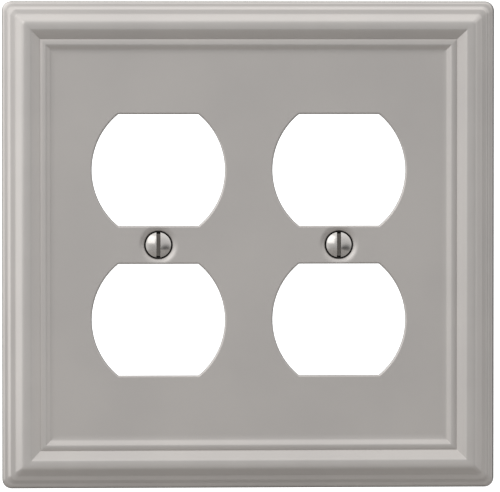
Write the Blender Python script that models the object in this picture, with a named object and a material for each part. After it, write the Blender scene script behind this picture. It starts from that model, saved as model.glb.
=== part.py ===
"""Two-gang wall plate cover for duplex receptacles, with its two screws and their washers.

The plate is one stamped steel sheet. It is modelled face up, with heights measured off the wall,
and an empty then stands it upright: the wall is the plane y = 0, the front faces -Y, X runs
across the plate, +Z is up and the origin is the plate's centre on the wall. All sizes in metres.
"""

import math

import bmesh
import bpy

MM = 0.001

# Plate outline and sheet
PLATE_WIDTH = 125.5 * MM
PLATE_HEIGHT = 124.0 * MM
SHEET = 0.9 * MM
EDGE_RADIUS = 0.35 * MM
EDGE_STEPS = 2

# Moulding from the edge inwards: distance in from the edge (mm), height off the wall (mm) and
# slope (degrees). The two knots at one distance make the sharp valley between cove and bead.
MOULDING = (
    (0.03, 2.46, 66.0),
    (0.35, 3.09, 60.0),
    (0.83, 3.46, 10.0),
    (1.25, 3.55, 14.0),
    (1.52, 3.73, 51.0),
    (2.02, 4.35, 51.0),
    (2.25, 4.50, 11.0),
    (3.15, 4.68, 12.0),
    (3.50, 4.89, 48.0),
    (4.75, 6.21, 45.0),
    (5.50, 6.58, 6.0),
    (6.20, 6.62, 0.0),
    (7.10, 6.58, -5.0),
    (7.40, 6.48, -31.0),
    (9.68, 4.77, -41.0),
    (9.68, 4.77, 24.0),
    (10.20, 4.92, 9.0),
    (10.95, 4.98, 0.0),
    (11.25, 4.90, -29.0),
    (11.95, 4.43, -39.0),
    (12.50, 4.18, -8.0),
    (13.70, 4.10, 0.0),
)
MOULDING_STEP = 0.45 * MM
BACK_STEP = 1.1 * MM
BACK_LEAST_STEP = 0.1 * MM
FIELD_HEIGHT = MOULDING[-1][1] * MM
FIELD_BACK = FIELD_HEIGHT - SHEET

# Corner radius of the moulding's lines (mm), by their distance in from the edge (mm)
CORNER_RADII = ((0.0, 2.4), (2.8, 1.2), (6.2, 1.0), (9.7, 0.2), (10.9, 0.5), (13.7, 0.3))
CORNER_STEPS = 4

# Receptacle openings: two arcs joined by two flats, 1.5 in apart up the plate
GANG_PITCH = 46.04 * MM
OPENING_PITCH = 38.1 * MM
OPENING_HALF_WIDTH = 17.1 * MM
OPENING_HALF_HEIGHT = 14.35 * MM
OPENING_ARC_RADIUS = 18.3 * MM
OPENING_ROLLOVER = 0.25 * MM
OPENING_ARC_STEPS = 12
ROLLOVER_STEPS = 3
FLARE_OVERRUN = 0.1 * MM

# Countersunk seat, drawn back into the sheet, with a soft pressed shoulder
SEAT_HALF_ANGLE = math.radians(41.0)
SEAT_MOUTH_RADIUS = 5.3 * MM
SEAT_BULGE_RADIUS = 4.9 * MM
SEAT_SHOULDER_RADIUS = 2.44 * MM
SEAT_HOLE_RADIUS = 2.05 * MM
SEAT_LIP_HEIGHT = 1.3 * MM
SEAT_WALL = 0.75 * MM
SEAT_STEPS = 5
SEAT_RUN_OUT = 0.35 * MM
SEAT_RUN_OUT_RISE = 0.02 * MM
FIT_GAP = 0.3 * MM

# Screws, 6-32 thread, slotted oval head
SCREW_LENGTH = 15.875 * MM
HEAD_RADIUS = 3.225 * MM
HEAD_LAND = 0.08 * MM
CROWN_HEIGHT = 0.95 * MM
CROWN_STEPS = 5
SLOT_WIDTH = 1.15 * MM
SLOT_DEPTH = 1.5 * MM
THREAD_MAJOR_RADIUS = 1.7525 * MM
THREAD_MINOR_RADIUS = 1.266 * MM
THREAD_PITCH = 0.79375 * MM
THREAD_CREST = 0.125
THREAD_START = 0.05 * MM
TIP_RADIUS = 1.1 * MM
TIP_LENGTH = 0.5 * MM
NECK_RADIUS = 1.5 * MM
NECK_LENGTH = 0.35 * MM
THREAD_STEPS = 20
RUN_OUT_DEPTH = 0.15

# Retaining washers, behind the seats
WASHER_RADIUS = 4.25 * MM
WASHER_THICKNESS = 0.6 * MM
WASHER_BACK = 0.35 * MM
WASHER_BEVEL = 0.12 * MM

TURNED_STEPS = 40
SHARP_ANGLE = math.radians(35)
CUTTER_OVERRUN = 1.0 * MM


def clear_scene():
    for item in list(bpy.data.objects):
        bpy.data.objects.remove(item, do_unlink=True)


def make_material(name, colour, roughness, metallic):
    material = bpy.data.materials.new(name)
    material.use_nodes = True
    shader = material.node_tree.nodes["Principled BSDF"]
    shader.inputs["Base Color"].default_value = (*colour, 1.0)
    shader.inputs["Roughness"].default_value = roughness
    shader.inputs["Metallic"].default_value = metallic
    return material


def make_object(name, bm, parent, location=(0.0, 0.0, 0.0), material=None):
    """Turn a bmesh into an object; without a material it is a cutter or a form to be joined."""
    bmesh.ops.recalc_face_normals(bm, faces=bm.faces)
    mesh = bpy.data.meshes.new(name)
    bm.to_mesh(mesh)
    bm.free()
    item = bpy.data.objects.new(name, mesh)
    bpy.context.collection.objects.link(item)
    item.parent = parent
    item.location = location
    if material:
        mesh.materials.append(material)
        mesh.shade_smooth()
        mesh.set_sharp_from_angle(angle=SHARP_ANGLE)
    else:
        item.hide_render = True
        item.display_type = "WIRE"
    return item


def add_boolean(item, operand, operation):
    modifier = item.modifiers.new(operand.name, "BOOLEAN")
    modifier.operation = operation
    modifier.solver = "EXACT"
    modifier.object = operand


def add_ring(bm, points):
    return [bm.verts.new(point) for point in points]


def round_ring(bm, radius, height, steps, start=0.0):
    """Ring of points about Z, clockwise seen from above, from a start angle."""
    points = []
    for i in range(steps):
        angle = start - math.tau * i / steps
        points.append((radius * math.cos(angle), radius * math.sin(angle), height))
    return add_ring(bm, points)


def skin_rings(bm, rings):
    """Join each ring to the next with quads; the rings have the same number of points."""
    for first, second in zip(rings, rings[1:]):
        for i, _ in enumerate(first):
            bm.faces.new((first[i - 1], first[i], second[i], second[i - 1]))


def hermite(start, end, t):
    """Point at t on the smooth line between two knots of distance, height and slope."""
    span = end[0] - start[0]
    rise = start[1] + (end[1] - start[1]) * t * t * (3 - 2 * t)
    lean = span * math.tan(math.radians(start[2])) * t * (1 - t) ** 2
    catch = span * math.tan(math.radians(end[2])) * t * t * (1 - t)
    return start[0] + span * t, rise + lean - catch


def hermite_slope(start, end, t):
    """Slope angle at t on the same line."""
    span = end[0] - start[0]
    chord = 6 * t * (1 - t) * (end[1] - start[1]) / span
    lean = math.tan(math.radians(start[2])) * (1 - t) * (1 - 3 * t)
    catch = math.tan(math.radians(end[2])) * t * (3 * t - 2)
    return math.atan(chord + lean + catch)


def moulding_points(step):
    """Front of the moulding from its first knot inwards: distance, height, slope angle."""
    knots = [(d * MM, h * MM, angle) for d, h, angle in MOULDING]
    points = []
    for start, end in zip(knots, knots[1:]):
        count = max(1, round((end[0] - start[0]) / step))
        if start[0] == end[0]:
            points.append((start[0], start[1], math.radians(start[2])))
            continue
        for i in range(count):
            distance, height = hermite(start, end, i / count)
            points.append((distance, height, hermite_slope(start, end, i / count)))
    points.append((knots[-1][0], knots[-1][1], 0.0))
    return points


def front_profile():
    """Rim at the wall, straight side, rounded edge, then the moulding."""
    slope = math.radians(MOULDING[0][2])
    shoulder = MOULDING[0][1] * MM - EDGE_RADIUS * math.cos(slope)
    profile = [(0.0, 0.0), (0.0, shoulder)]
    for i in range(1, EDGE_STEPS):
        turn = math.pi / 2 + (slope - math.pi / 2) * i / EDGE_STEPS
        profile.append((EDGE_RADIUS * (1 - math.sin(turn)), shoulder + EDGE_RADIUS * math.cos(turn)))
    last = None
    for distance, height, _ in moulding_points(MOULDING_STEP):
        if (distance, height) != last:
            profile.append((distance, height))
        last = (distance, height)
    return profile


def back_profile():
    """Back of the sheet, offset from the front by its thickness."""
    profile = [(SHEET, 0.0), (SHEET, MOULDING[0][1] * MM - EDGE_RADIUS)]
    for distance, height, slope in moulding_points(BACK_STEP):
        across = distance + SHEET * math.sin(slope)
        if across > profile[-1][0] + BACK_LEAST_STEP:
            profile.append((across, height - SHEET * math.cos(slope)))
    return profile


def corner_radius(distance):
    """Corner radius of the moulding's line at a distance in from the edge."""
    knots = [(d * MM, r * MM) for d, r in CORNER_RADII]
    for (d0, r0), (d1, r1) in zip(knots, knots[1:]):
        if distance <= d1:
            return r0 + (r1 - r0) * (distance - d0) / (d1 - d0)
    return knots[-1][1]


def frame_ring(distance, height):
    """Rounded rectangle set in from the plate's outline, counter-clockwise seen from the front."""
    radius = corner_radius(distance)
    points = []
    for corner in range(4):
        sign_x = 1 if corner in (0, 3) else -1
        sign_y = 1 if corner in (0, 1) else -1
        centre_x = sign_x * (PLATE_WIDTH / 2 - distance - radius)
        centre_y = sign_y * (PLATE_HEIGHT / 2 - distance - radius)
        for i in range(CORNER_STEPS + 1):
            angle = math.pi / 2 * (corner + i / CORNER_STEPS)
            across = centre_x + radius * math.cos(angle)
            up = centre_y + radius * math.sin(angle)
            points.append((across, up, height))
    return points


def plate_blank():
    """Closed shell of the stamped sheet before its openings are punched."""
    bm = bmesh.new()
    front = [add_ring(bm, frame_ring(*point)) for point in front_profile()]
    back = [add_ring(bm, frame_ring(*point)) for point in back_profile()]
    skin_rings(bm, front[::-1] + back)
    bm.faces.new(front[-1])
    bm.faces.new(back[-1])
    return bm


def opening_outline(growth, height):
    """Outline of a receptacle opening: an arc on each side, a flat at top and bottom."""
    radius = OPENING_ARC_RADIUS + growth
    reach = math.asin((OPENING_HALF_HEIGHT + growth) / radius)
    offset = OPENING_ARC_RADIUS - OPENING_HALF_WIDTH
    points = []
    for side in (1, -1):
        for i in range(OPENING_ARC_STEPS + 1):
            angle = reach * (2 * i / OPENING_ARC_STEPS - 1)
            across = side * (radius * math.cos(angle) - offset)
            points.append((across, side * radius * math.sin(angle), height))
    return points


def opening_punch():
    """Cutter for one opening, flared at the front for the rolled-over punched edge."""
    bm = bmesh.new()
    start = FIELD_HEIGHT - OPENING_ROLLOVER
    levels = [(0.0, FIELD_BACK - CUTTER_OVERRUN)]
    for i in range(ROLLOVER_STEPS):
        turn = math.pi / 2 * i / ROLLOVER_STEPS
        growth = OPENING_ROLLOVER * (1 - math.cos(turn))
        levels.append((growth, start + OPENING_ROLLOVER * math.sin(turn)))
    levels.append((OPENING_ROLLOVER + FLARE_OVERRUN, FIELD_HEIGHT + FLARE_OVERRUN / 2))
    rings = [add_ring(bm, opening_outline(*level)) for level in levels]
    skin_rings(bm, rings)
    bm.faces.new(rings[0])
    bm.faces.new(rings[-1])
    return bm


def turned(profile, closed=False):
    """Solid turned about Z from (radius, height) points; a closed profile makes a ring."""
    bm = bmesh.new()
    rings = [round_ring(bm, radius, height, TURNED_STEPS) for radius, height in profile]
    if closed:
        skin_rings(bm, rings + rings[:1])
    else:
        skin_rings(bm, rings)
        bm.faces.new(rings[0])
        bm.faces.new(rings[-1])
    return bm


def seat_surface():
    """Inside of a screw seat from its mouth to its hole: rounded shoulder, then the cone."""
    centre = FIELD_HEIGHT - SEAT_SHOULDER_RADIUS
    cone_turn = math.pi / 2 - SEAT_HALF_ANGLE
    points = []
    for i in range(1, SEAT_STEPS + 1):
        turn = cone_turn * i / SEAT_STEPS
        radius = SEAT_MOUTH_RADIUS - SEAT_SHOULDER_RADIUS * math.sin(turn)
        points.append((radius, centre + SEAT_SHOULDER_RADIUS * math.cos(turn)))
    radius, height = points[-1]
    points.append((SEAT_HOLE_RADIUS, height - (radius - SEAT_HOLE_RADIUS) / math.tan(SEAT_HALF_ANGLE)))
    return points


def seat_cup():
    """Metal drawn down behind the sheet to carry the screw's head."""
    surface = seat_surface()
    wall = SEAT_WALL / math.cos(SEAT_HALF_ANGLE)
    outer = [
        (SEAT_BULGE_RADIUS, FIELD_BACK + SHEET / 2),
        (SEAT_BULGE_RADIUS, FIELD_BACK),
        (surface[-2][0] + wall, surface[-2][1] - SEAT_WALL),
        (surface[-1][0] + wall, surface[-1][1]),
        (SEAT_HOLE_RADIUS + SEAT_WALL, SEAT_LIP_HEIGHT),
    ]
    return turned(outer)


def seat_punch():
    """Cutter for the rounded shoulder, the cone and the clearance hole."""
    surface = seat_surface()
    mouth = SEAT_MOUTH_RADIUS + SEAT_RUN_OUT
    above = [(mouth, FIELD_HEIGHT + CUTTER_OVERRUN), (mouth, FIELD_HEIGHT + SEAT_RUN_OUT_RISE)]
    below = [(SEAT_HOLE_RADIUS, SEAT_LIP_HEIGHT - CUTTER_OVERRUN)]
    return turned(above + surface + below)


def head_edge_height():
    """Height of the head's widest edge, with the fit gap between the two cones."""
    radius, start = seat_surface()[-2]
    head_cone = radius - FIT_GAP / math.cos(SEAT_HALF_ANGLE)
    return start + (HEAD_RADIUS - head_cone) / math.tan(SEAT_HALF_ANGLE)


def crown_points(edge):
    """Domed top of the head from next to the axis out to its edge."""
    ball = (HEAD_RADIUS**2 + CROWN_HEIGHT**2) / (2 * CROWN_HEIGHT)
    points = []
    for i in range(1, CROWN_STEPS + 1):
        radius = HEAD_RADIUS * i / CROWN_STEPS
        points.append((radius, edge + CROWN_HEIGHT - ball + math.sqrt(ball**2 - radius**2)))
    return points


def screw_body():
    """Head, neck, helical thread and chamfered tip as one closed surface, slot not yet cut."""
    bm = bmesh.new()
    edge = head_edge_height()
    neck = edge - (HEAD_RADIUS - THREAD_MAJOR_RADIUS) / math.tan(SEAT_HALF_ANGLE)
    below_neck = neck - NECK_LENGTH
    profile = crown_points(edge + HEAD_LAND)
    profile += [(HEAD_RADIUS, edge), (THREAD_MAJOR_RADIUS, neck), (NECK_RADIUS, below_neck)]
    rings = [round_ring(bm, radius, height, THREAD_STEPS) for radius, height in profile]
    skin_rings(bm, rings)
    bm.faces.new(rings[0])
    add_thread(bm, rings[-1], below_neck - THREAD_START, edge - SCREW_LENGTH)
    return bm


def thread_column(bm, i, columns, top):
    """Points of the thread's profile at step i of the helix, shallow at both ends."""
    profile = ((0.0, 0.0), (0.5 - THREAD_CREST / 2, 1.0), (0.5 + THREAD_CREST / 2, 1.0))
    if i > columns:
        profile = profile[:1]
    angle = -math.tau * i / THREAD_STEPS
    from_end = max(0.0, min(i, columns - i) / THREAD_STEPS)
    depth = (THREAD_MAJOR_RADIUS - THREAD_MINOR_RADIUS) * min(1.0, RUN_OUT_DEPTH + from_end)
    column = []
    for place, rise in profile:
        radius = THREAD_MINOR_RADIUS + depth * rise
        height = top - THREAD_PITCH * (i / THREAD_STEPS + place)
        column.append(bm.verts.new((radius * math.cos(angle), radius * math.sin(angle), height)))
    return column


def add_thread(bm, neck_ring, top, tip):
    """Wind the thread's profile down from the neck and close it with the tip's chamfer."""
    turns = (top - tip - TIP_LENGTH) / THREAD_PITCH - 1
    columns = int(turns * THREAD_STEPS)
    grid = [thread_column(bm, i, columns, top) for i in range(columns + THREAD_STEPS + 1)]
    for i in range(columns):
        here = grid[i] + grid[i + THREAD_STEPS][:1]
        there = grid[i + 1] + grid[i + 1 + THREAD_STEPS][:1]
        for j in range(len(grid[0])):
            bm.faces.new((here[j], there[j], there[j + 1], here[j + 1]))
    close_thread_end(bm, neck_ring, grid[: THREAD_STEPS + 1])
    end_angle = -math.tau * columns / THREAD_STEPS
    end_ring = round_ring(bm, TIP_RADIUS, tip, THREAD_STEPS, end_angle)
    close_thread_end(bm, end_ring, grid[columns:])
    bm.faces.new(end_ring)


def close_thread_end(bm, ring, turn):
    """Join a flat ring to one turn of the root line, and close the step where the turn begins."""
    around = ring + ring[:1]
    root = [column[0] for column in turn]
    for i in range(THREAD_STEPS):
        bm.faces.new((around[i], around[i + 1], root[i + 1], root[i]))
    bm.faces.new([ring[0], *turn[0], root[-1]])


def slot_cutter():
    """Cutter for the driving slot, which runs up and down the plate at rest."""
    bm = bmesh.new()
    top = head_edge_height() + HEAD_LAND + CROWN_HEIGHT
    bmesh.ops.create_cube(bm, size=1.0)
    length = 2 * HEAD_RADIUS + CUTTER_OVERRUN
    bmesh.ops.scale(bm, vec=(SLOT_WIDTH, length, 2 * SLOT_DEPTH), verts=bm.verts)
    bmesh.ops.translate(bm, vec=(0.0, 0.0, top), verts=bm.verts)
    return bm


def washer_body():
    """Flat ring with its outer corners broken."""
    inner = THREAD_MAJOR_RADIUS + FIT_GAP
    low = WASHER_BACK
    high = WASHER_BACK + WASHER_THICKNESS
    profile = [
        (inner, low),
        (WASHER_RADIUS - WASHER_BEVEL, low),
        (WASHER_RADIUS, low + WASHER_BEVEL),
        (WASHER_RADIUS, high - WASHER_BEVEL),
        (WASHER_RADIUS - WASHER_BEVEL, high),
        (inner, high),
    ]
    return turned(profile, closed=True)


def build_plate(stand, nickel):
    plate = make_object("face_plate", plate_blank(), stand, material=nickel)
    for side in (-1, 1):
        place = (side * GANG_PITCH / 2, 0.0, 0.0)
        add_boolean(plate, make_object("seat_cup", seat_cup(), stand, place), "UNION")
        add_boolean(plate, make_object("seat_punch", seat_punch(), stand, place), "DIFFERENCE")
    for row in (1, -1):
        for side in (-1, 1):
            place = (side * GANG_PITCH / 2, row * OPENING_PITCH / 2, 0.0)
            add_boolean(plate, make_object("opening_punch", opening_punch(), stand, place), "DIFFERENCE")


def build_fastener(side, name, stand, screw_metal, fibre):
    place = (side * GANG_PITCH / 2, 0.0, 0.0)
    screw = make_object(f"{name}_screw", screw_body(), stand, place, screw_metal)
    add_boolean(screw, make_object("slot_cutter", slot_cutter(), stand, place), "DIFFERENCE")
    make_object(f"{name}_washer", washer_body(), stand, place, fibre)


clear_scene()
upright = bpy.data.objects.new("upright", None)
bpy.context.collection.objects.link(upright)
upright.rotation_euler = (math.radians(90), 0.0, 0.0)
satin_nickel = make_material("satin_nickel", (0.40, 0.38, 0.37), 0.38, 1.0)
bright_nickel = make_material("bright_nickel", (0.62, 0.60, 0.58), 0.16, 1.0)
grey_fibre = make_material("grey_fibre", (0.30, 0.28, 0.26), 0.8, 0.0)
build_plate(upright, satin_nickel)
build_fastener(-1, "left", upright, bright_nickel, grey_fibre)
build_fastener(1, "right", upright, bright_nickel, grey_fibre)
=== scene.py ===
import math

import bmesh
import bpy
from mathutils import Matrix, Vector
from mathutils.geometry import delaunay_2d_cdt


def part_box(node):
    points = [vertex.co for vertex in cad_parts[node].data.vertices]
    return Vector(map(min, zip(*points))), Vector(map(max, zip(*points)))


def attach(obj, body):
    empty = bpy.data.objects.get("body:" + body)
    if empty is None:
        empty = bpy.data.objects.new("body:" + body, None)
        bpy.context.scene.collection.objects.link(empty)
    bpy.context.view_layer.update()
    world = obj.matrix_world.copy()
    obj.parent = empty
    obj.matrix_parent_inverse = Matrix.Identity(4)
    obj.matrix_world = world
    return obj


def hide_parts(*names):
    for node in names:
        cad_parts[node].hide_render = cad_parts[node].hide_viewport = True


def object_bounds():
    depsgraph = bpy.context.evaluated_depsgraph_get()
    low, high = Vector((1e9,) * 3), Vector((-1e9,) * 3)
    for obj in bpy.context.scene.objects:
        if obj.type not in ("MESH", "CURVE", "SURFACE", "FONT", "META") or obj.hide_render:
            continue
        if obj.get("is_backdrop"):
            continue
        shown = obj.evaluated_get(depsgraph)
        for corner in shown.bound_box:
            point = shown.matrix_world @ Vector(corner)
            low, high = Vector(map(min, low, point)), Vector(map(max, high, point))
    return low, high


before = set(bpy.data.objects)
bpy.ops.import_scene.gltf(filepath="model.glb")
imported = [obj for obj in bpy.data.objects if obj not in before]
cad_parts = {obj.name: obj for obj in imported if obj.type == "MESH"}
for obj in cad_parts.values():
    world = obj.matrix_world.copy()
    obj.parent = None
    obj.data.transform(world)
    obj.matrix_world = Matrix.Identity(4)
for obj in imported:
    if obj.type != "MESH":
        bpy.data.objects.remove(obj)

MM = 0.001
cad_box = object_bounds()

# The studio. The plate hangs a little above a round pale floor whose edge fades out, in a dome
# of soft light that is brightest overhead and on the left, with a white screen straight behind.
# A dark card stands low in front on the right, and a large softbox high in front on the left.
FLOOR_GAP = 22 * MM
FLOOR_RADIUS = 260 * MM
FLOOR_FADE = 110 * MM
FLOOR_SIDES = 96
FLOOR_TONE = (0.35, 0.34, 0.33, 1.0)
FLOOR_FLECK = 0.96
FLOOR_ROUGHNESS = 0.7
FLOOR_GRAIN_PER_METRE = 60.0
DOME_FRONT = 0.582
DOME_RIGHT = -0.065
DOME_TOP = 0.415
DOME_SIDE = (0.447, -0.09, -0.249)
DOME_REAR = (-0.50, -1.35, 1.15)
DOME_SIDE_START = -0.9
DOME_REAR_END = 0.7
DOME_LEAST = 0.04
SCREEN_WHITE = 1.0
SCREEN_RIM = (0.990, 0.9925)
CARD_PLACE = (0.58, -0.57, -0.58)
CARD_DARK = -0.42
CARD_RIM = (0.72, 0.98)
SOFTBOX_SIDE = 420 * MM
SOFTBOX_PLACE = (-330 * MM, -450 * MM, 260 * MM)
SOFTBOX_POWER = 0.45
CAMERA_DISTANCE = 1.6
CAMERA_LEFT = math.radians(3.3)
CAMERA_UP = math.radians(1.8)
VIEW_WIDTH = 127.6 * MM
VIEW_CENTRE = (0.53 * MM, 0.0, -0.42 * MM)


class Wire:
    """A value in a shader; sums written with it add the Math nodes that work them out."""

    def __init__(self, tree, socket=None):
        self.tree = tree
        self.socket = socket

    def node(self, kind, settings=None, sockets=None, out=0):
        """Add a node: its settings first, then the values or links of its sockets."""
        made = self.tree.nodes.new(kind)
        for name, value in (settings or {}).items():
            setattr(made, name, value)
        self.plug(made, sockets or {})
        return Wire(self.tree, made.outputs[out])

    def plug(self, made, sockets):
        for key, value in sockets.items():
            if isinstance(value, Wire):
                self.tree.links.new(value.socket, made.inputs[key])
            else:
                made.inputs[key].default_value = value

    def other(self, name):
        """Another output of the node that this value comes from."""
        return Wire(self.tree, self.socket.node.outputs[name])

    def maths(self, operation, *terms):
        return self.node("ShaderNodeMath", {"operation": operation}, dict(enumerate(terms)))

    def __add__(self, term):
        return self.maths("ADD", self, term)

    def __radd__(self, term):
        return self.maths("ADD", term, self)

    def __sub__(self, term):
        return self.maths("SUBTRACT", self, term)

    def __rsub__(self, term):
        return self.maths("SUBTRACT", term, self)

    def __mul__(self, term):
        return self.maths("MULTIPLY", self, term)

    def __rmul__(self, term):
        return self.maths("MULTIPLY", term, self)

    def __abs__(self):
        return self.maths("ABSOLUTE", self)

    def most(self, term):
        return self.maths("MAXIMUM", self, term)

    def axes(self):
        """The three parts of this vector."""
        parts = self.node("ShaderNodeSeparateXYZ", sockets={0: self})
        return [parts.other(axis) for axis in "XYZ"]

    def scaled(self, factors):
        return self.node("ShaderNodeVectorMath", {"operation": "MULTIPLY"}, {0: self, 1: factors})

    def rise(self, start, end):
        """0 up to start, 1 from end on, with a smooth rise between them."""
        return self.node(
            "ShaderNodeMapRange",
            {"interpolation_type": "SMOOTHSTEP"},
            {"Value": self, "From Min": start, "From Max": end},
        )

    def blend(self, low, high):
        """Colour between two colours, this value being the share of the second."""
        return self.node("ShaderNodeMix", {"data_type": "RGBA"}, {0: self, 6: low, 7: high}, out=2)

    def noise(self, scale, detail=2.0):
        """Noise over this position, from 0 to 1."""
        sockets = {"Vector": self, "Scale": scale, "Detail": detail}
        return self.node("ShaderNodeTexNoise", sockets=sockets)

    def bump(self, depth):
        """Direction of the surface once this relief, 1 being the depth given, is laid on it."""
        return self.node("ShaderNodeBump", sockets={"Height": self, "Distance": depth})


def new_finish(name):
    """Empty material: the material, its surface shader and a wire with the place in metres."""
    finish = bpy.data.materials.new(name)
    finish.use_nodes = True
    start = Wire(finish.node_tree)
    place = start.node("ShaderNodeTexCoord", out="Object")
    return finish, finish.node_tree.nodes["Principled BSDF"], place


def new_object(name, data):
    made = bpy.data.objects.new(name, data)
    bpy.context.scene.collection.objects.link(made)
    return made


dome = bpy.data.worlds.new("soft_dome")
dome.use_nodes = True
bpy.context.scene.world = dome
facing = Wire(dome.node_tree).node("ShaderNodeTexCoord", out="Generated")
right, behind, up = facing.axes()
side = behind.rise(DOME_SIDE_START, 0.0)
rear = behind.rise(0.0, DOME_REAR_END)
glow = DOME_FRONT + DOME_RIGHT * right + DOME_TOP * up
glow = glow + side * (DOME_SIDE[0] + DOME_SIDE[1] * right + DOME_SIDE[2] * up)
glow = glow + rear * (DOME_REAR[0] + DOME_REAR[1] * right + DOME_REAR[2] * up)
card = CARD_PLACE[0] * right + CARD_PLACE[1] * behind + CARD_PLACE[2] * up
glow = glow + CARD_DARK * card.rise(*CARD_RIM)
glow = glow.most(DOME_LEAST) + SCREEN_WHITE * behind.rise(*SCREEN_RIM)
glow.plug(dome.node_tree.nodes["Background"], {"Color": (1.0, 1.0, 1.0, 1.0), "Strength": glow})

softbox_light = bpy.data.lights.new("softbox", "AREA")
softbox_light.size = SOFTBOX_SIDE
softbox_light.energy = SOFTBOX_POWER
softbox = new_object("softbox", softbox_light)
softbox.location = SOFTBOX_PLACE
softbox.rotation_euler = (-Vector(SOFTBOX_PLACE)).to_track_quat("-Z", "Y").to_euler()

camera_data = bpy.data.cameras.new("camera")
camera_data.lens = camera_data.sensor_width * CAMERA_DISTANCE / VIEW_WIDTH
camera = new_object("camera", camera_data)
camera.rotation_euler = (math.radians(90) - CAMERA_UP, 0.0, -CAMERA_LEFT)
backward = camera.rotation_euler.to_matrix() @ Vector((0.0, 0.0, CAMERA_DISTANCE))
camera.location = Vector(VIEW_CENTRE) + backward
bpy.context.scene.camera = camera
bpy.context.scene.view_settings.view_transform = "Standard"

floor_mesh = bmesh.new()
bmesh.ops.create_circle(floor_mesh, cap_ends=True, radius=FLOOR_RADIUS, segments=FLOOR_SIDES)
floor_data = bpy.data.meshes.new("pale_floor")
floor_mesh.to_mesh(floor_data)
floor_mesh.free()
pale_floor = new_object("pale_floor", floor_data)
pale_floor.location = (0.0, 0.0, cad_box[0][2] - FLOOR_GAP)
paint, shader, place = new_finish("floor_paint")
reach = place.node("ShaderNodeVectorMath", {"operation": "LENGTH"}, {0: place}, out="Value")
solid = 1 - reach.rise(FLOOR_RADIUS - FLOOR_FADE, FLOOR_RADIUS)
grain = place.noise(FLOOR_GRAIN_PER_METRE, detail=3.0)
tint = grain.blend(FLOOR_TONE, tuple(FLOOR_FLECK * c for c in FLOOR_TONE[:3]) + (1.0,))
solid.plug(shader, {"Base Color": tint, "Roughness": FLOOR_ROUGHNESS, "Alpha": solid})
floor_data.materials.append(paint)
pale_floor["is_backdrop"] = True

# The face plate. One sheet of steel, 0.9 mm thick, stamped in a single stroke: a stepped outer
# slope, a cove, a sharp valley and a small bead run round a flat field, with mitred corners.
# Four outlet openings are punched through it, and the two screw seats are drawn back into it.
SHEET = 0.9 * MM
EDGE_RADIUS = 0.35 * MM
EDGE_STEPS = 7
RIM_BREAK = 0.12 * MM
MOULDING = (
    (0.03, 2.46, 66.0),
    (0.35, 3.09, 60.0),
    (0.83, 3.46, 10.0),
    (1.25, 3.55, 14.0),
    (1.52, 3.73, 51.0),
    (2.02, 4.35, 51.0),
    (2.25, 4.50, 11.0),
    (3.15, 4.68, 12.0),
    (3.50, 4.89, 48.0),
    (4.75, 6.21, 45.0),
    (5.50, 6.58, 6.0),
    (6.20, 6.62, 0.0),
    (7.10, 6.58, -5.0),
    (7.40, 6.48, -31.0),
    (9.68, 4.77, -41.0),
    (9.68, 4.77, 24.0),
    (10.20, 4.92, 9.0),
    (10.95, 4.98, 0.0),
    (11.25, 4.90, -29.0),
    (11.95, 4.43, -39.0),
    (12.50, 4.18, -8.0),
    (13.70, 4.10, 0.0),
)
FRONT_STEP = 0.12 * MM
BACK_STEP = 0.3 * MM
VALLEY_STEPS = 5
CORNER_RADII = ((0.0, 2.4), (2.8, 1.2), (6.2, 0.5), (7.4, 0.12), (13.7, 0.08))
CORNER_STEPS = 10
FIELD = MOULDING[-1][1] * MM
FIELD_BACK = FIELD - SHEET
FLAT_EDGE = 0.03 * MM

GANG_PITCH = 46.04 * MM
OPENING_PITCH = 38.1 * MM
OPENING_HALF_WIDTH = 16.95 * MM
OPENING_HALF_HEIGHT = 14.2 * MM
OPENING_ARC = 18.3 * MM
OPENING_CORNER = 0.25 * MM
ROUND_STEPS = 5
ARC_STEPS = 40
FLAT_STEPS = 72
ROLLOVER = 0.45 * MM
ROLLOVER_DEPTH = 0.75 * MM
ROLLOVER_STEPS = 8
BURR = 0.05 * MM

SEAT_ANGLE = math.radians(41)
SEAT_MOUTH = 5.3 * MM
SEAT_SHOULDER = 2.44 * MM
SEAT_HOLE = 2.05 * MM
SEAT_LIP = 1.3 * MM
SEAT_RING = 4.12 * MM
SEAT_WALL = 0.75 * MM
SEAT_SIDES = 96
SHOULDER_STEPS = 12
SHOULDER_BACK_STEPS = 8
LIP_BREAK = 0.1 * MM
DIP_RINGS = 7
DIP_SIDES = 120
DIP_CLEAR = 0.1 * MM
SAME_SPOT = 1e-9
SHARP_ANGLE = 30.0


def upright(across, up, height):
    """Point on the standing plate from its place on the plate and its height off the wall."""
    return Vector((across, -height, up))


def ring_point(middle, radius, height, turn):
    """Point on a circle about a screw's axis, which stands out from the wall."""
    return upright(middle + radius * math.cos(turn), radius * math.sin(turn), height)


def round_loop(middle, radius, height, steps):
    return [ring_point(middle, radius, height, math.tau * i / steps) for i in range(steps)]


def add_loop(bm, points):
    return [bm.verts.new(point) for point in points]


def skin(bm, loops):
    """Join each loop to the next with quads."""
    for first, second in zip(loops, loops[1:]):
        for i, _ in enumerate(first):
            bm.faces.new((first[i - 1], first[i], second[i], second[i - 1]))


def sunk(point):
    """The point, lowered where the sheet rolls down into a screw's seat."""
    reach = math.hypot(abs(point.x) - GANG_PITCH / 2, point.z)
    share = min(1.0, max(0.0, (FIELD + point.y) / SHEET))
    drop = 0.0
    if reach < SEAT_MOUTH:
        for part, bend in ((1 - share, SEAT_SHOULDER), (share, SEAT_SHOULDER - SHEET)):
            inward = min(SEAT_MOUTH - reach, bend)
            drop += part * (bend - math.sqrt(bend**2 - inward**2))
    return point + Vector((0.0, drop, 0.0))


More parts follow.
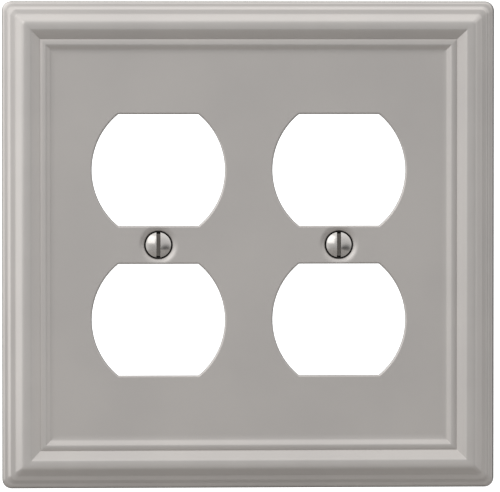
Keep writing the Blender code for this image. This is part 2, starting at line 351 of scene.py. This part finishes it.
def inside(point, loop):
    """Whether a point on the plate lies inside a loop, counting the sides it would cross."""
    within = False
    for i, here in enumerate(loop):
        there = loop[i - 1]
        if (here[1] > point[1]) != (there[1] > point[1]):
            share = (point[1] - here[1]) / (there[1] - here[1])
            within ^= point[0] < here[0] + share * (there[0] - here[0])
    return within


def cover_field(bm, outer, holes, height):
    """Cover the flat field round its holes, with extra rings where it dips into the seats."""
    loops = [outer, *holes]
    verts = [vert for loop in loops for vert in loop]
    edges, first = [], 0
    for loop in loops:
        edges += [(first + i, first + (i + 1) % len(loop)) for i, _ in enumerate(loop)]
        first += len(loop)
    flat = [(vert.co.x, vert.co.z) for vert in verts]
    rim, *gaps = [[(vert.co.x, vert.co.z) for vert in loop] for loop in loops]
    for side in (-1, 1):
        for i in range(1, DIP_RINGS + 1):
            reach = SEAT_RING + (SEAT_MOUTH - SEAT_RING) * i / DIP_RINGS
            for point in round_loop(side * GANG_PITCH / 2, reach, height, DIP_SIDES):
                spot = (point.x, point.z)
                clear = min((vert.co.xz - point.xz).length for hole in holes for vert in hole)
                if clear > DIP_CLEAR and not any(inside(spot, gap) for gap in gaps):
                    flat.append(spot)
                    verts.append(bm.verts.new(sunk(point)))
    made = delaunay_2d_cdt([Vector(spot) for spot in flat], edges, [], 0, SAME_SPOT)
    places, triangles, sources = made[0], made[2], made[3]
    for triangle in triangles:
        middle = sum((places[i] for i in triangle), Vector((0.0, 0.0))) / 3
        if inside(middle, rim) and not any(inside(middle, gap) for gap in gaps):
            bm.faces.new([verts[sources[i][0]] for i in triangle])


def finish_mesh(name, bm, sharp=SHARP_ANGLE):
    """Close a bmesh into an object, its faces pointing out, smooth except at sharp edges."""
    bmesh.ops.recalc_face_normals(bm, faces=bm.faces)
    data = bpy.data.meshes.new(name)
    bm.to_mesh(data)
    bm.free()
    data.shade_smooth()
    data.set_sharp_from_angle(angle=math.radians(sharp))
    return new_object(name, data)


def moulding_run(step):
    """Front of the moulding as (distance in, height, slope), smooth through its knots."""
    run = []
    for (d0, h0, a0), (d1, h1, a1) in zip(MOULDING, MOULDING[1:]):
        span = d1 - d0
        count = max(1, round(span * MM / step))
        lean, catch = math.tan(math.radians(a0)), math.tan(math.radians(a1))
        for i in range(count if span else 1):
            t = i / count
            height = h0 + (h1 - h0) * t * t * (3 - 2 * t)
            height += span * t * (1 - t) * (lean * (1 - t) - catch * t)
            slope = lean * (1 - t) * (1 - 3 * t) + catch * t * (3 * t - 2)
            if span:
                slope += 6 * t * (1 - t) * (h1 - h0) / span
            run.append(((d0 + span * t) * MM, height * MM, math.atan(slope)))
    last = MOULDING[-1]
    run.append((last[0] * MM, last[1] * MM, 0.0))
    return run


def front_run():
    """Front line from the wall over the rounded edge and the moulding to the field."""
    first = math.radians(MOULDING[0][2])
    shoulder = MOULDING[0][1] * MM - EDGE_RADIUS * math.cos(first)
    run = [(RIM_BREAK, 0.0), (RIM_BREAK * 0.3, RIM_BREAK * 0.3), (0.0, RIM_BREAK)]
    for i in range(EDGE_STEPS):
        turn = math.pi / 2 + (first - math.pi / 2) * i / EDGE_STEPS
        run.append((EDGE_RADIUS * (1 - math.sin(turn)), shoulder + EDGE_RADIUS * math.cos(turn)))
    for distance, height, _ in moulding_run(FRONT_STEP):
        if (distance, height) != run[-1]:
            run.append((distance, height))
    return run


def back_run():
    """Back line, one sheet's thickness behind the front, rounded behind the valley."""
    shoulder = MOULDING[0][1] * MM - EDGE_RADIUS
    run = [(SHEET - RIM_BREAK, 0.0), (SHEET, RIM_BREAK), (SHEET, shoulder)]
    points = moulding_run(BACK_STEP)
    turned_round = []
    for here, there in zip(points, points[1:]):
        turned_round.append(here)
        if here[:2] == there[:2]:
            for i in range(1, VALLEY_STEPS):
                slope = here[2] + (there[2] - here[2]) * i / VALLEY_STEPS
                turned_round.append((*here[:2], slope))
    turned_round.append(points[-1])
    for distance, height, slope in turned_round:
        place_in = distance + SHEET * math.sin(slope)
        if place_in > run[-1][0] + FLAT_EDGE:
            run.append((place_in, height - SHEET * math.cos(slope)))
    return run


def corner_radius(distance):
    for (d0, r0), (d1, r1) in zip(CORNER_RADII, CORNER_RADII[1:]):
        if distance <= d1 * MM:
            return (r0 + (r1 - r0) * (distance / MM - d0) / (d1 - d0)) * MM
    return CORNER_RADII[-1][1] * MM


def frame_loop(half_width, half_height, distance, height):
    """Rounded rectangle, set in from the plate's edge by a distance."""
    radius = corner_radius(distance)
    points = []
    for corner, (side, top) in enumerate(((1, 1), (-1, 1), (-1, -1), (1, -1))):
        for i in range(CORNER_STEPS + 1):
            turn = math.pi / 2 * (corner + i / CORNER_STEPS)
            x = side * (half_width - distance - radius) + radius * math.cos(turn)
            z = top * (half_height - distance - radius) + radius * math.sin(turn)
            points.append(upright(x, z, height))
    return points


def opening_loop(centre, growth, height):
    """Opening's outline: an arc on each side, a flat above and below, small round corners."""
    radius = OPENING_ARC + growth
    corner = OPENING_CORNER + growth
    flat = OPENING_HALF_HEIGHT + growth
    offset = OPENING_ARC - OPENING_HALF_WIDTH
    lift = math.asin((flat - corner) / (radius - corner))
    corner_x = (radius - corner) * math.cos(lift) - offset
    corner_z = flat - corner
    half = []
    for i in range(ROUND_STEPS):
        turn = -math.pi / 2 + (math.pi / 2 - lift) * i / ROUND_STEPS
        half.append((corner_x + corner * math.cos(turn), -corner_z + corner * math.sin(turn)))
    for i in range(ARC_STEPS + 1):
        turn = lift * (2 * i / ARC_STEPS - 1)
        half.append((radius * math.cos(turn) - offset, radius * math.sin(turn)))
    for i in range(1, ROUND_STEPS + 1):
        turn = lift + (math.pi / 2 - lift) * i / ROUND_STEPS
        half.append((corner_x + corner * math.cos(turn), corner_z + corner * math.sin(turn)))
    for i in range(1, FLAT_STEPS):
        half.append((corner_x * (1 - 2 * i / FLAT_STEPS), flat))
    whole = half + [(-x, -z) for x, z in half]
    return [sunk(upright(centre[0] + x, centre[1] + z, height)) for x, z in whole]


def opening_levels():
    """Punched edge from front to back: rolled over, sheared straight, then a fine burr."""
    levels = [(ROLLOVER + FLAT_EDGE, FIELD)]
    for i in range(ROLLOVER_STEPS + 1):
        turn = math.pi / 2 * (1 - i / ROLLOVER_STEPS)
        depth = ROLLOVER_DEPTH * (1 - math.sin(turn))
        levels.append((ROLLOVER * (1 - math.cos(turn)), FIELD - depth))
    levels += [(0.0, FIELD_BACK + 2 * BURR), (BURR, FIELD_BACK), (BURR + FLAT_EDGE, FIELD_BACK)]
    return levels


def seat_levels():
    """Seat from front to back: rolled shoulder, cone, hole, lip, and round again behind."""
    tilt = math.pi / 2 - SEAT_ANGLE
    inner_bend = SEAT_SHOULDER - SHEET
    levels = []
    start = math.asin((SEAT_MOUTH - SEAT_RING) / SEAT_SHOULDER)
    for i in range(SHOULDER_STEPS + 1):
        turn = start + (tilt - start) * i / SHOULDER_STEPS
        depth = SEAT_SHOULDER * (1 - math.cos(turn))
        levels.append((SEAT_MOUTH - SEAT_SHOULDER * math.sin(turn), FIELD - depth))
    fall = (levels[-1][0] - SEAT_HOLE) / math.tan(SEAT_ANGLE)
    cone_end = levels[-1][1] - fall
    levels += [(SEAT_HOLE, cone_end), (SEAT_HOLE, SEAT_LIP + LIP_BREAK)]
    levels += [(SEAT_HOLE + LIP_BREAK, SEAT_LIP), (SEAT_HOLE + SEAT_WALL - LIP_BREAK, SEAT_LIP)]
    levels += [(SEAT_HOLE + SEAT_WALL, SEAT_LIP + LIP_BREAK), (SEAT_HOLE + SEAT_WALL, cone_end)]
    start = math.asin((SEAT_MOUTH - SEAT_RING) / inner_bend)
    for i in range(SHOULDER_BACK_STEPS + 1):
        turn = tilt + (start - tilt) * i / SHOULDER_BACK_STEPS
        depth = inner_bend * (1 - math.cos(turn))
        levels.append((SEAT_MOUTH - inner_bend * math.sin(turn), FIELD_BACK - depth))
    return levels


def make_plate():
    low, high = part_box("face_plate")
    half_width, half_height = (high[0] - low[0]) / 2, (high[2] - low[2]) / 2
    bm = bmesh.new()
    front = [add_loop(bm, frame_loop(half_width, half_height, *p)) for p in front_run()]
    field_in = MOULDING[-1][0] * MM + FLAT_EDGE
    front.append(add_loop(bm, frame_loop(half_width, half_height, field_in, FIELD)))
    back = [add_loop(bm, frame_loop(half_width, half_height, *p)) for p in back_run()]
    back.append(add_loop(bm, frame_loop(half_width, half_height, field_in, FIELD_BACK)))
    skin(bm, front[::-1] + back)
    front_holes, back_holes = [], []
    for side in (-1, 1):
        for row in (1, -1):
            centre = (side * GANG_PITCH / 2, row * OPENING_PITCH / 2)
            loops = [add_loop(bm, opening_loop(centre, *level)) for level in opening_levels()]
            skin(bm, loops)
            front_holes.append(loops[0])
            back_holes.append(loops[-1])
        middle = side * GANG_PITCH / 2
        loops = [add_loop(bm, round_loop(middle, *at, SEAT_SIDES)) for at in seat_levels()]
        skin(bm, loops)
        front_holes.append(loops[0])
        back_holes.append(loops[-1])
    cover_field(bm, front[-1], front_holes, FIELD)
    cover_field(bm, back[-1], back_holes, FIELD_BACK)
    return finish_mesh("stamped_plate", bm)


stamped_plate = make_plate()
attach(stamped_plate, "plate")
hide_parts("face_plate")

# Satin nickel on steel: plated bright, then dulled by a fine, even blasting, so the grain has no
# direction. The crest and the bead are rubbed a touch brighter, the back is duller, the screw seats
# carry a painted shadow inside, and every steep face is painted darker as shade, the punched edges
# among them also showing the shear's fine streaks.
NICKEL_LIGHT = (0.622, 0.592, 0.566, 1.0)
NICKEL_DARK = (0.592, 0.564, 0.542, 1.0)
NICKEL_WORN = (0.655, 0.628, 0.604, 1.0)
NICKEL_BACK = (0.450, 0.430, 0.415, 1.0)
# The sheared colour is painted shade for steep faces, and the seat colour is a painted shadow.
SHEARED_PAINTED_SHADE = (0.210, 0.198, 0.190, 1.0)
SEAT_PAINTED_SHADOW = (0.045, 0.042, 0.040, 1.0)
SATIN_METAL = 0.6
SATIN_ROUGHNESS = 0.36
BACK_ROUGHNESS = 0.14
REAR_FACING = (0.2, 0.5)
FLAT_FACING = (0.38, 0.60)
SEAT_SHADOW_RIM = (3.55 * MM, 3.75 * MM)
CREST_WORN = (6.1 * MM, 6.6 * MM)
BEAD_WORN = (10.3 * MM, 10.9 * MM, 11.6 * MM)
CLOUDS_PER_METRE = 38.0
RUB_PER_METRE = 150.0
MOTTLE_PER_METRE = 330.0
PEEL_PER_METRE = 900.0
STREAKS_PER_METRE = (2600.0, 160.0, 2600.0)
BLAST_PER_METRE = 5200.0
BLAST_DEPTH = 0.003 * MM

satin_nickel, shader, place = new_finish("satin_nickel")
x, y, z = place.axes()
half_width, half_height = cad_box[1][0], cad_box[1][2]
inset = 0 - (abs(x) - half_width).most(abs(z) - half_height)
outward = 0 - place.node("ShaderNodeNewGeometry", out="True Normal").axes()[1]
rear = (0 - outward).rise(*REAR_FACING)
# Every steep face (rims, punched edges, steepest moulding slopes) gets painted shade in its colour;
# its streaks in roughness and relief are real.
steep_shear_and_shade = 1 - abs(outward).rise(*FLAT_FACING)
spoke = place.node("ShaderNodeCombineXYZ", sockets={0: abs(x) - GANG_PITCH / 2, 2: z})
radius = spoke.node("ShaderNodeVectorMath", {"operation": "LENGTH"}, {0: spoke}, out="Value")
# Painted shadow: inside each screw seat, within this radius, the colour is painted near black.
seat_painted_shadow = 1 - radius.rise(*SEAT_SHADOW_RIM)
worn = (0 - y).rise(*CREST_WORN)
worn = worn.most(inset.rise(*BEAD_WORN[:2]) * (1 - inset.rise(*BEAD_WORN[1:])))
clouds = place.noise(CLOUDS_PER_METRE, detail=3.0)
peel = place.noise(PEEL_PER_METRE)
blast = place.noise(BLAST_PER_METRE)
streaks = place.scaled(STREAKS_PER_METRE).noise(1.0, detail=3.0)
rub = (0.55 + 0.9 * (place.noise(RUB_PER_METRE, detail=4.0) - 0.5)) * worn
colour = clouds.rise(0.3, 0.7).blend(NICKEL_DARK, NICKEL_LIGHT)
colour = rub.blend(colour, NICKEL_WORN)
# Painted shade: steep faces are blended towards a dark, streaked colour.
colour = (steep_shear_and_shade * (0.75 + 0.5 * streaks)).blend(colour, SHEARED_PAINTED_SHADE)
# Painted shadow in the screw seats.
colour = seat_painted_shadow.blend(colour, SEAT_PAINTED_SHADOW)
colour = (rear * (0.75 + 0.5 * (clouds - 0.5))).blend(colour, NICKEL_BACK)
gloss = SATIN_ROUGHNESS + 0.05 * (clouds - 0.5) + 0.05 * (peel - 0.5) - 0.05 * rub
gloss = gloss + BACK_ROUGHNESS * rear + 0.10 * steep_shear_and_shade * (streaks - 0.3)
relief = blast + 1.5 * peel + 9 * steep_shear_and_shade * streaks
relief = relief + 2.5 * rear * place.noise(MOTTLE_PER_METRE, detail=3.0)
look = {"Base Color": colour, "Metallic": SATIN_METAL, "Roughness": gloss}
place.plug(shader, {**look, "Normal": relief.bump(BLAST_DEPTH)})
stamped_plate.data.materials.append(satin_nickel)

# The screws. Two 6-32 oval-head machine screws of turned and rolled steel, 5/8 in long, with a
# polished nickel plate. The thread is rolled, with rounded crests and roots and a run-out at
# each end, the tip is chamfered, and the driver slot is sawn across the domed head.
SCREW_LENGTH = 15.875 * MM
HEAD_RADIUS = 3.225 * MM
HEAD_LAND = 0.08 * MM
HEAD_BREAK = 0.05 * MM
CROWN_HEIGHT = 0.95 * MM
CROWN_STEPS = 18
UNDER_STEPS = 6
FIT_GAP = 0.3 * MM
SLOT_WIDTH = 1.0 * MM
SLOT_DEPTH = 1.5 * MM
SLOT_BREAK = 0.06 * MM
SLOT_FLARE = 0.3 * MM
SLOT_STEPS = 40
THREAD_RADIUS = 1.7525 * MM
ROOT_RADIUS = 1.266 * MM
THREAD_PITCH = 0.79375 * MM
THREAD_FORM = (
    (0.0, 0.0),
    (0.055, 0.008),
    (0.10, 0.07),
    (0.25, 0.50),
    (0.40, 0.92),
    (0.45, 0.985),
    (0.50, 1.0),
    (0.55, 0.985),
    (0.60, 0.92),
    (0.75, 0.50),
    (0.90, 0.07),
    (0.945, 0.008),
)
RUN_OUT_START = 0.03
NECK_RADIUS = 1.5 * MM
NECK_LENGTH = 0.35 * MM
NECK_EDGE = 0.04 * MM
NECK_ROUND = 0.06 * MM
THREAD_START = 0.05 * MM
TIP_RADIUS = 1.1 * MM
TIP_LENGTH = 0.5 * MM
TIP_FORM = ((1.08, 0.06), (1.0, 0.015), (0.92, 0.0))
TURN_STEPS = 48

seat_tilt = math.pi / 2 - SEAT_ANGLE
shoulder_end = SEAT_MOUTH - SEAT_SHOULDER * math.sin(seat_tilt)
shoulder_fall = SEAT_SHOULDER * (1 - math.cos(seat_tilt))
under_head = shoulder_end - FIT_GAP / math.cos(SEAT_ANGLE)
head_edge = FIELD - shoulder_fall + (HEAD_RADIUS - under_head) / math.tan(SEAT_ANGLE)
crown_foot = head_edge + HEAD_LAND
crown_ball = (HEAD_RADIUS**2 + CROWN_HEIGHT**2) / (2 * CROWN_HEIGHT)
neck_top = head_edge - (HEAD_RADIUS - THREAD_RADIUS) / math.tan(SEAT_ANGLE)
tip_height = head_edge - SCREW_LENGTH


def crown_rise(radius):
    """Height of the domed head at a distance from its axis."""
    return crown_foot + CROWN_HEIGHT - crown_ball + math.sqrt(crown_ball**2 - radius**2)


def head_line():
    """Head and neck as (radius, height), from the middle of the dome down to the thread."""
    dome_edge = HEAD_RADIUS - HEAD_BREAK
    line = []
    for i in range(1, CROWN_STEPS + 1):
        radius = dome_edge * i / CROWN_STEPS
        line.append((radius, crown_rise(radius)))
    line.append((HEAD_RADIUS - HEAD_BREAK * 0.3, crown_rise(dome_edge) - HEAD_BREAK * 0.45))
    line.append((HEAD_RADIUS, head_edge + HEAD_LAND * 0.4))
    line.append((HEAD_RADIUS - HEAD_BREAK * 0.2, head_edge - HEAD_BREAK * 0.4))
    for i in range(1, UNDER_STEPS):
        share = i / UNDER_STEPS
        radius = HEAD_RADIUS + (THREAD_RADIUS - HEAD_RADIUS) * share
        line.append((radius, head_edge + (neck_top - head_edge) * share))
    line.append((THREAD_RADIUS, neck_top - NECK_EDGE))
    line.append((NECK_RADIUS + NECK_ROUND, neck_top - NECK_LENGTH * 0.6))
    line.append((NECK_RADIUS, neck_top - NECK_LENGTH))
    return line


def thread_column(bm, middle, i, columns, top):
    """Points of the thread's form at step i of its helix, fading out at both ends."""
    turn = -math.tau * i / TURN_STEPS
    ends = max(0.0, min(i, columns - i) / TURN_STEPS)
    fade = min(1.0, RUN_OUT_START + ends)
    depth = (THREAD_RADIUS - ROOT_RADIUS) * fade * fade * (3 - 2 * fade)
    column = []
    for along, rise in THREAD_FORM if i <= columns else THREAD_FORM[:1]:
        radius = ROOT_RADIUS + depth * rise
        fall = THREAD_PITCH * (i / TURN_STEPS + along)
        column.append(bm.verts.new(ring_point(middle, radius, top - fall, turn)))
    return column


def close_thread(bm, ring, turn):
    """Join a flat ring to one turn of the root line, and close the step where the turn begins."""
    around = ring + ring[:1]
    root = [column[0] for column in turn]
    for i in range(TURN_STEPS):
        bm.faces.new((around[i], around[i + 1], root[i + 1], root[i]))
    bm.faces.new([ring[0], *turn[0], root[-1]])


def make_slot_saw(middle):
    """Solid that cuts the slot, flared where it meets the dome so that the lips are broken."""
    bm = bmesh.new()
    floor = crown_foot + CROWN_HEIGHT - SLOT_DEPTH
    half = SLOT_WIDTH / 2
    loops = []
    for i in range(SLOT_STEPS + 1):
        along = (2 * i / SLOT_STEPS - 1) * (HEAD_RADIUS + SLOT_FLARE)
        lip = crown_rise(min(abs(along), HEAD_RADIUS)) - SLOT_BREAK
        form = [(half, floor), (half, lip), (half + SLOT_FLARE, lip + SLOT_FLARE)]
        form += [(-x, height) for x, height in form[::-1]]
        loops.append([bm.verts.new(upright(middle + x, along, height)) for x, height in form])
    skin(bm, loops)
    bm.faces.new(loops[0])
    bm.faces.new(loops[-1])
    return finish_mesh("slot_saw", bm)


def cut(piece, tool):
    """Take the tool's solid away from the piece, for good."""
    modifier = piece.modifiers.new("cut", "BOOLEAN")
    modifier.operation = "DIFFERENCE"
    modifier.solver = "EXACT"
    modifier.object = tool
    view = bpy.context.evaluated_depsgraph_get()
    data = bpy.data.meshes.new_from_object(piece.evaluated_get(view))
    piece.modifiers.clear()
    piece.data = data
    bpy.data.objects.remove(tool, do_unlink=True)


def make_screw(name, middle):
    bm = bmesh.new()
    line = head_line()
    rings = [add_loop(bm, round_loop(middle, *at, TURN_STEPS)) for at in line]
    skin(bm, rings)
    bm.faces.new(rings[0])
    top = line[-1][1] - THREAD_START
    turns = (top - tip_height - TIP_LENGTH) / THREAD_PITCH - 1
    columns = int(turns * TURN_STEPS)
    grid = [thread_column(bm, middle, i, columns, top) for i in range(columns + TURN_STEPS + 1)]
    for i in range(columns):
        here = grid[i] + grid[i + TURN_STEPS][:1]
        there = grid[i + 1] + grid[i + 1 + TURN_STEPS][:1]
        for j, _ in enumerate(grid[0]):
            bm.faces.new((here[j], there[j], there[j + 1], here[j + 1]))
    close_thread(bm, rings[-1][:1] + rings[-1][:0:-1], grid[: TURN_STEPS + 1])
    start = -math.tau * columns / TURN_STEPS
    tips = []
    for radius, height in TIP_FORM:
        ring = []
        for i in range(TURN_STEPS):
            turn = start - math.tau * i / TURN_STEPS
            at = ring_point(middle, TIP_RADIUS * radius, tip_height + height * MM, turn)
            ring.append(bm.verts.new(at))
        tips.append(ring)
    close_thread(bm, tips[0], grid[columns:])
    skin(bm, tips)
    bm.faces.new(tips[-1])
    screw = finish_mesh(name, bm)
    cut(screw, make_slot_saw(middle))
    screw.data.set_sharp_from_angle(angle=math.radians(SHARP_ANGLE))
    return screw


left_oval_screw = make_screw("left_oval_screw", -GANG_PITCH / 2)
right_oval_screw = make_screw("right_oval_screw", GANG_PITCH / 2)
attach(left_oval_screw, "left_screw")
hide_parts("left_screw")
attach(right_oval_screw, "right_screw")
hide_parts("right_screw")

# Polished nickel on the screws. The head keeps faint rings from turning under its polish, the slot
# is sawn and rougher, with painted shade darkening its colour, and the rolled thread is duller, with
# a painted shade darkest down in its roots.
POLISH_LIGHT = (0.690, 0.665, 0.640, 1.0)
POLISH_DARK = (0.640, 0.612, 0.585, 1.0)
THREAD_METAL = (0.500, 0.470, 0.435, 1.0)
# The root and slot colours are painted shade laid in those recesses.
ROOT_PAINTED_SHADE = (0.200, 0.180, 0.160, 1.0)
SLOT_PAINTED_SHADE = (0.230, 0.215, 0.200, 1.0)
POLISH_ROUGHNESS = 0.19
THREAD_ROUGHNESS = 0.20
SLOT_ROUGHNESS = 0.30
THREAD_BLEND = 0.1 * MM
SLOT_SIDE_BLEND = (-0.01 * MM, 0.03 * MM)
SLOT_FLOOR_BLEND = (-0.05 * MM, -0.01 * MM)
DOME_FALL_PER_METRE = 0.09 / MM
DOME_DROP = 0.5 * MM
DOME_BLEND = 0.35 * MM
RINGS_PER_METRE = 26000.0
MARKS_PER_METRE = 1400.0
FILM_PER_METRE = 420.0
RING_DEPTH = 0.0004 * MM

polished_nickel, shader, place = new_finish("polished_nickel")
x, y, z = place.axes()
off_axis = abs(x) - GANG_PITCH / 2
spoke = place.node("ShaderNodeCombineXYZ", sockets={0: off_axis, 2: z})
radius = spoke.node("ShaderNodeVectorMath", {"operation": "LENGTH"}, {0: spoke}, out="Value")
height = 0 - y
threaded = 1 - height.rise(neck_top - THREAD_BLEND, neck_top + THREAD_BLEND)
in_root = threaded * (1 - radius.rise(ROOT_RADIUS, THREAD_RADIUS - THREAD_BLEND))
slot_floor = crown_foot + CROWN_HEIGHT - SLOT_DEPTH
in_slot = 1 - abs(off_axis).rise(*(SLOT_WIDTH / 2 + blend for blend in SLOT_SIDE_BLEND))
over_floor = height.rise(*(slot_floor + blend for blend in SLOT_FLOOR_BLEND))
below_dome = crown_foot + DOME_DROP - DOME_FALL_PER_METRE * radius * radius - height
in_slot = in_slot * over_floor * below_dome.rise(0.0, DOME_BLEND)
rings = place.node("ShaderNodeCombineXYZ", sockets={0: radius})
rings = rings.noise(RINGS_PER_METRE, detail=3.0)
marks = place.noise(MARKS_PER_METRE, detail=4.0)
film = place.noise(FILM_PER_METRE, detail=3.0)
colour = film.rise(0.3, 0.7).blend(POLISH_DARK, POLISH_LIGHT)
colour = (threaded * (0.6 + 0.8 * (marks - 0.3))).blend(colour, THREAD_METAL)
# Painted shade: the thread roots are painted much darker.
colour = in_root.blend(colour, ROOT_PAINTED_SHADE)
# The slot's dark colour is painted shade; its rougher finish and relief are real.
colour = in_slot.blend(colour, SLOT_PAINTED_SHADE)
gloss = POLISH_ROUGHNESS + 0.06 * (marks - 0.5) + 0.05 * (film - 0.5)
gloss = gloss + THREAD_ROUGHNESS * threaded + SLOT_ROUGHNESS * in_slot
relief = rings * (1 - threaded) + 3 * marks * (threaded + in_slot) + 0.8 * marks
look = {"Base Color": colour, "Metallic": 1.0, "Roughness": gloss}
place.plug(shader, {**look, "Normal": relief.bump(RING_DEPTH)})
left_oval_screw.data.materials.append(polished_nickel)
right_oval_screw.data.materials.append(polished_nickel)

# The retaining washers. Two rings punched from grey vulcanised fibre, pushed onto the threads
# behind the plate so that the screws stay with it until it is fixed to the wall.
WASHER_RADIUS = 4.25 * MM
WASHER_HOLE = 2.0 * MM
WASHER_BACK = 0.35 * MM
WASHER_THICKNESS = 0.6 * MM
WASHER_ROUND = 0.1 * MM
WASHER_ROUND_STEPS = 4
WASHER_SIDES = 96
WASHER_SHARP_ANGLE = 40.0
FIBRE_LIGHT = (0.240, 0.225, 0.205, 1.0)
FIBRE_DARK = (0.120, 0.112, 0.102, 1.0)
FIBRE_EDGE = (0.330, 0.310, 0.280, 1.0)
FIBRE_ROUGHNESS = 0.72
FLECKS_PER_METRE = (900.0, 3000.0, 4200.0)
CROSSED_PER_METRE = (4200.0, 3000.0, 900.0)
PULP_PER_METRE = 700.0
CORE_HALF = 0.1 * MM
FIBRE_DEPTH = 0.02 * MM


def make_washer(name, middle):
    """Ring with its four corners rounded off, all the way round."""
    centre_radius = (WASHER_RADIUS + WASHER_HOLE) / 2
    half_width = (WASHER_RADIUS - WASHER_HOLE) / 2 - WASHER_ROUND
    half_height = WASHER_THICKNESS / 2 - WASHER_ROUND
    bm = bmesh.new()
    loops = []
    for corner, (out, up) in enumerate(((1, 1), (-1, 1), (-1, -1), (1, -1))):
        for i in range(WASHER_ROUND_STEPS + 1):
            turn = math.pi / 2 * (corner + i / WASHER_ROUND_STEPS)
            radius = centre_radius + out * half_width + WASHER_ROUND * math.cos(turn)
            height = WASHER_BACK + WASHER_THICKNESS / 2 + up * half_height
            height += WASHER_ROUND * math.sin(turn)
            loops.append(add_loop(bm, round_loop(middle, radius, height, WASHER_SIDES)))
    skin(bm, loops + loops[:1])
    return finish_mesh(name, bm, WASHER_SHARP_ANGLE)


left_fibre_washer = make_washer("left_fibre_washer", -GANG_PITCH / 2)
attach(left_fibre_washer, "left_washer")
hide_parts("left_washer")
right_fibre_washer = make_washer("right_fibre_washer", GANG_PITCH / 2)
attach(right_fibre_washer, "right_washer")
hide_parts("right_washer")

grey_fibre, shader, place = new_finish("grey_fibre")
height = 0 - place.axes()[1]
core = WASHER_BACK + WASHER_THICKNESS / 2
punched = 1 - abs(height - core).rise(CORE_HALF, WASHER_THICKNESS / 2)
flecks = place.scaled(FLECKS_PER_METRE).noise(1.0, detail=5.0)
crossed = place.scaled(CROSSED_PER_METRE).noise(1.0, detail=5.0)
pulp = place.noise(PULP_PER_METRE, detail=4.0)
colour = (0.5 * flecks + 0.5 * crossed).rise(0.35, 0.65).blend(FIBRE_DARK, FIBRE_LIGHT)
colour = (punched * (0.3 + 0.5 * pulp)).blend(colour, FIBRE_EDGE)
look = {"Base Color": colour, "Roughness": FIBRE_ROUGHNESS + 0.2 * (pulp - 0.5)}
relief = 0.4 * flecks + 0.4 * crossed + 0.4 * pulp
place.plug(shader, {**look, "Normal": relief.bump(FIBRE_DEPTH)})
left_fibre_washer.data.materials.append(grey_fibre)
right_fibre_washer.data.materials.append(grey_fibre)

boxes = {"cad": cad_box, "visual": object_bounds()}
boxes = {name: [[float(value) for value in corner] for corner in box] for name, box in boxes.items()}
